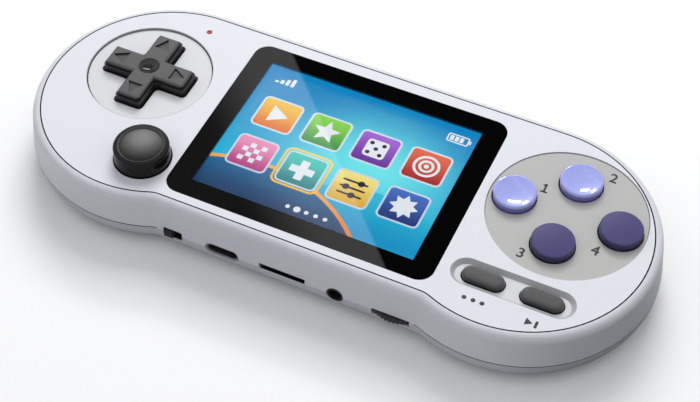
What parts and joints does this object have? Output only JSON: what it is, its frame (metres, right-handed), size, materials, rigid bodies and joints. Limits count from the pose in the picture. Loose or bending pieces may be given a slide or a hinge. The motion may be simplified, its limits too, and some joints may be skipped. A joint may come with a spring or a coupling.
{
  "type": "handheld game console",
  "caption": "Handheld game console with round ends, a flared side band, a screen, a direction pad, an analogue stick, face, menu and shoulder buttons, and ports along its bottom edge.",
  "frame": {"origin": "middle of the back, at the case's centre, on the surface that the console lies on", "axes": "+X along the case towards the face buttons, +Y towards the shoulder buttons, +Z out of the face"},
  "size_m": [0.173, 0.0716, 0.0219],
  "materials": {
    "face": "fine satin, very light cool grey",
    "band": "satin mid grey",
    "back": "satin mid grey",
    "disc": "satin light grey",
    "lens": "clear window in a glossy black border",
    "display": "lit panel",
    "pad": "matte dark grey",
    "stick": "soft black",
    "button_light": "glossy light lavender",
    "button_dark": "glossy dark purple",
    "key": "matte dark grey rubber",
    "silicone": "translucent grey silicone",
    "black": "matte black",
    "trigger": "satin dark grey",
    "steel": "bright sheet steel",
    "board": "green solder mask",
    "contacts": "gold plated",
    "ribbon": "amber film",
    "connector": "ivory",
    "battery": "dark blue wrap",
    "light": "dark red, clear"
  },
  "bodies": {
    "housing": {"front_plate": "face", "mid_frame": "band", "back_shell": "back", "case_screws": "steel", "display_lens": "lens", "lens_tape": "black", "lcd_panel": "display", "lcd_tray": "steel", "lcd_ribbon": "ribbon", "ribbon_connector": "connector", "button_disc": "disc", "main_board": "board", "board_chips": "black", "battery_pack": "battery", "battery_contacts": "contacts", "speaker": "steel", "speaker_gasket": "black", "usb_socket": "steel", "usb_tongue": "black", "card_socket": "steel", "headphone_jack": "black", "power_switch_body": "black", "volume_pot": "black", "led_pipe": "light", "led_chip": "connector", "d_pad_post": "black", "d_pad_membrane": "silicone", "stick_housing": "steel", "face_button_membrane": "silicone", "menu_membrane": "silicone", "shoulder_pins": "steel", "shoulder_switch_left": "black", "shoulder_switch_right": "black"},
    "battery_door": {"battery_door": "back"},
    "power_slider": {"power_slider": "black"},
    "volume_wheel": {"volume_wheel": "black"},
    "d_pad_pivot": {"d_pad_ball": "steel"},
    "d_pad": {"d_pad": "pad", "d_pad_contacts": "silicone"},
    "stick_yoke": {"stick_yoke": "black"},
    "stick": {"stick_shaft": "black", "stick_cap": "stick"},
    "face_button_left": {"face_button_left": "button_light", "button_plunger_left": "silicone"},
    "face_button_top": {"face_button_top": "button_light", "button_plunger_top": "silicone"},
    "face_button_right": {"face_button_right": "button_dark", "button_plunger_right": "silicone"},
    "face_button_bottom": {"face_button_bottom": "button_dark", "button_plunger_bottom": "silicone"},
    "select_key": {"select_button": "key", "select_plunger": "silicone"},
    "start_key": {"start_button": "key", "start_plunger": "silicone"},
    "shoulder_left": {"shoulder_button_left": "trigger"},
    "shoulder_right": {"shoulder_button_right": "trigger"}
  },
  "joints": [
    {"name": "battery_door_hinge", "type": "hinge", "parent": "housing", "child": "battery_door", "pos_m": [0, 0.0255, 0], "axis": [1, 0, 0], "range_deg": [0, 50]},
    {"name": "power_slide", "type": "slide", "parent": "housing", "child": "power_slider", "axis": [1, 0, 0], "range_m": [0, 0.002]},
    {"name": "volume_turn", "type": "hinge", "parent": "housing", "child": "volume_wheel", "pos_m": [0.0295, -0.0252, 0.0062], "axis": [0, 0, 1], "range_deg": [-135, 135]},
    {"name": "d_pad_rock_x", "type": "hinge", "parent": "housing", "child": "d_pad_pivot", "pos_m": [-0.0588, 0.0066, 0.01135], "axis": [1, 0, 0], "range_deg": [-4.5, 4.5], "stiffness_Nm_per_rad": 0.15},
    {"name": "d_pad_rock_y", "type": "hinge", "parent": "d_pad_pivot", "child": "d_pad", "pos_m": [-0.0588, 0.0066, 0.01135], "axis": [0, 1, 0], "range_deg": [-4.5, 4.5], "stiffness_Nm_per_rad": 0.15},
    {"name": "stick_tilt_x", "type": "hinge", "parent": "housing", "child": "stick_yoke", "pos_m": [-0.0456, -0.0204, 0.0178], "axis": [1, 0, 0], "range_deg": [-13, 13], "stiffness_Nm_per_rad": 0.02},
    {"name": "stick_tilt_y", "type": "hinge", "parent": "stick_yoke", "child": "stick", "pos_m": [-0.0456, -0.0204, 0.0178], "axis": [0, 1, 0], "range_deg": [-13, 13], "stiffness_Nm_per_rad": 0.02},
    {"name": "press_left", "type": "slide", "parent": "housing", "child": "face_button_left", "axis": [0, 0, -1], "range_m": [0, 0.0012], "stiffness_N_per_m": 500},
    {"name": "press_top", "type": "slide", "parent": "housing", "child": "face_button_top", "axis": [0, 0, -1], "range_m": [0, 0.0012], "stiffness_N_per_m": 500},
    {"name": "press_right", "type": "slide", "parent": "housing", "child": "face_button_right", "axis": [0, 0, -1], "range_m": [0, 0.0012], "stiffness_N_per_m": 500},
    {"name": "press_bottom", "type": "slide", "parent": "housing", "child": "face_button_bottom", "axis": [0, 0, -1], "range_m": [0, 0.0012], "stiffness_N_per_m": 500},
    {"name": "press_select", "type": "slide", "parent": "housing", "child": "select_key", "axis": [0, 0, -1], "range_m": [0, 0.0008], "stiffness_N_per_m": 800},
    {"name": "press_start", "type": "slide", "parent": "housing", "child": "start_key", "axis": [0, 0, -1], "range_m": [0, 0.0008], "stiffness_N_per_m": 800},
    {"name": "shoulder_swing_left", "type": "hinge", "parent": "housing", "child": "shoulder_left", "pos_m": [-0.04675, 0.0295, 0.0106], "axis": [0, 0, 1], "range_deg": [0, 2.5], "stiffness_Nm_per_rad": 0.4},
    {"name": "shoulder_swing_right", "type": "hinge", "parent": "housing", "child": "shoulder_right", "pos_m": [0.04675, 0.0295, 0.0106], "axis": [0, 0, -1], "range_deg": [0, 2.5], "stiffness_Nm_per_rad": 0.4}
  ]
}
